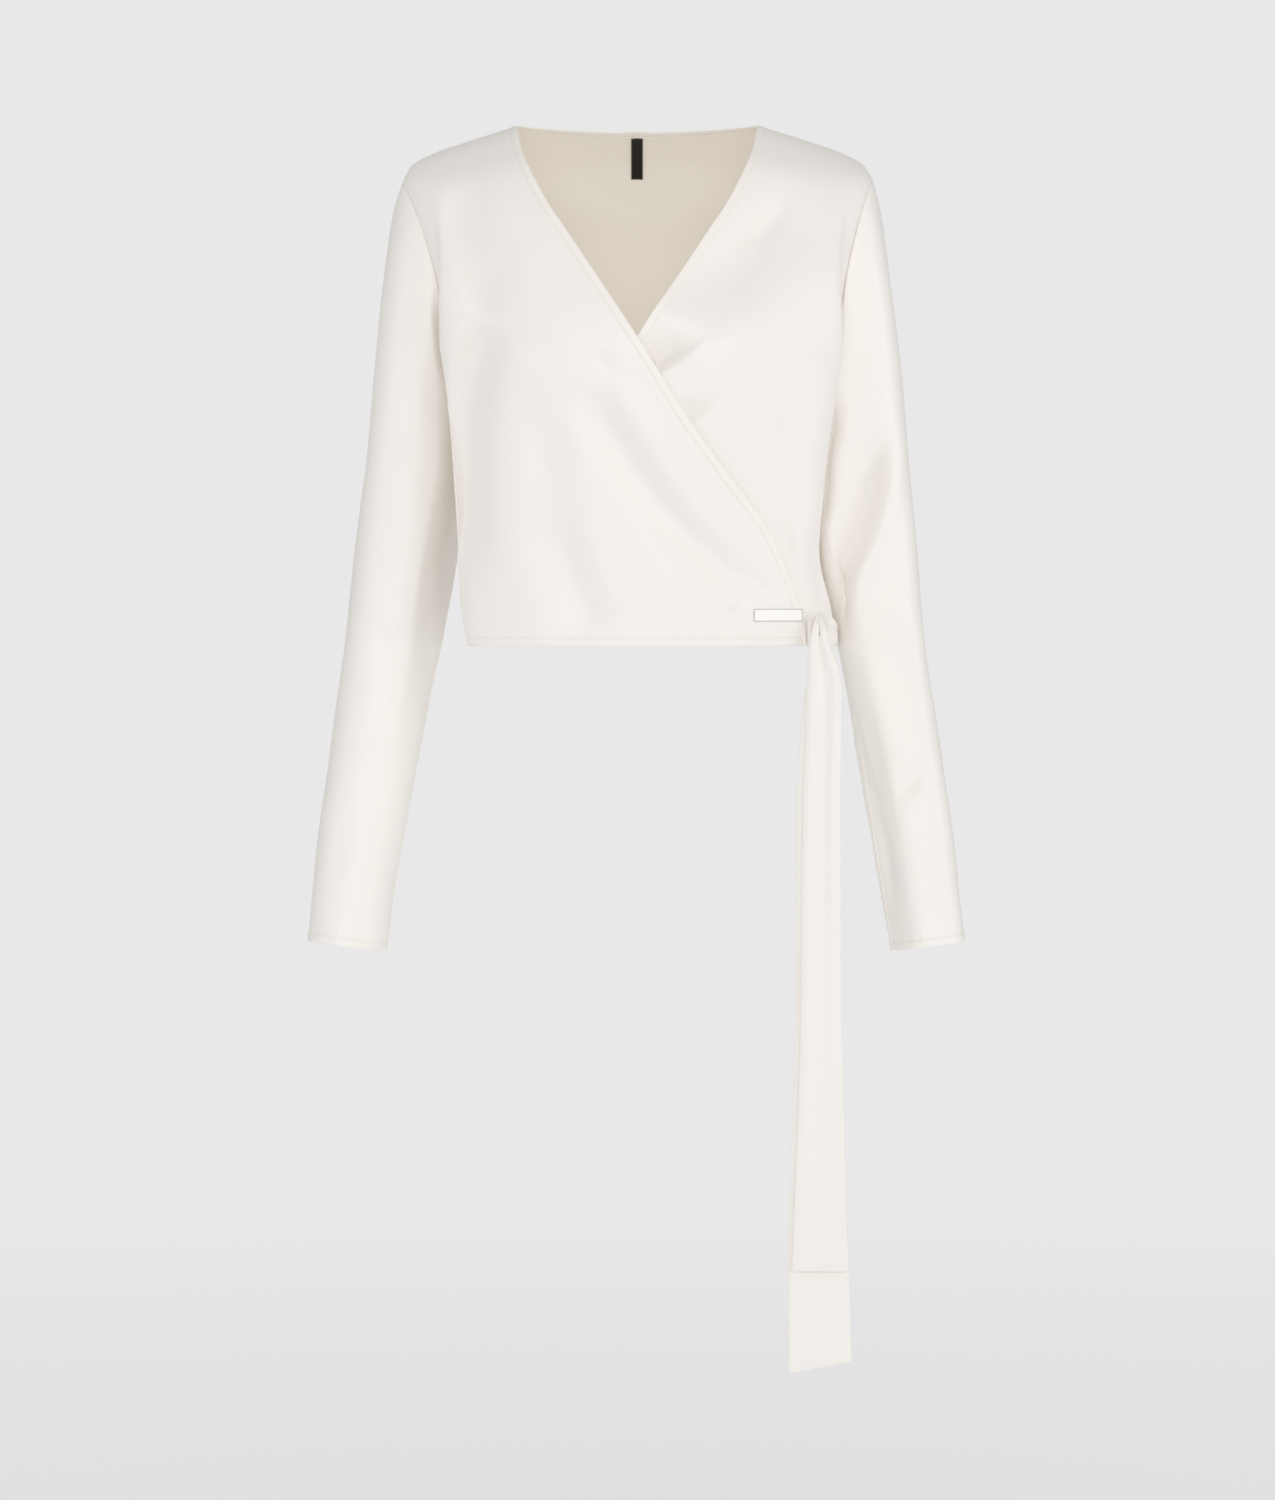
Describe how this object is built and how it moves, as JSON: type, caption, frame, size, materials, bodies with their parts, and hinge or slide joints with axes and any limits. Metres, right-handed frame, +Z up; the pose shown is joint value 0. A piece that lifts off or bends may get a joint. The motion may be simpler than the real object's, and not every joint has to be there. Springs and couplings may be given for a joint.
{
  "type": "wrap top",
  "caption": "Cropped long-sleeved satin wrap top, filled out as worn, with a V neckline, right front over left, and long ties knotted at the left side.",
  "frame": {"origin": "midway between the wearer's shoulders, at the height and depth where they carry the top", "axes": "+Z up, +X towards the wearer's left sleeve, -Y the way the wearer faces"},
  "size_m": [0.5237, 0.2184, 0.9906],
  "materials": {
    "satin": "ivory crepe-back satin, soft sheen outside and matt inside",
    "label_white": "white woven label, matt, blank",
    "label_black": "black woven label, matt, blank"
  },
  "bodies": {
    "root": {"back": "satin", "front_over": "satin", "front_under": "satin", "sleeve_right": "satin", "sleeve_left": "satin", "edge_over": "satin", "edge_under": "satin", "edge_neck": "satin", "tie_over": "satin", "tie_side": "satin", "knot": "satin", "tail_front": "satin", "tail_rear": "satin", "label_hem": "label_white", "label_neck": "label_black"}
  },
  "joints": []
}
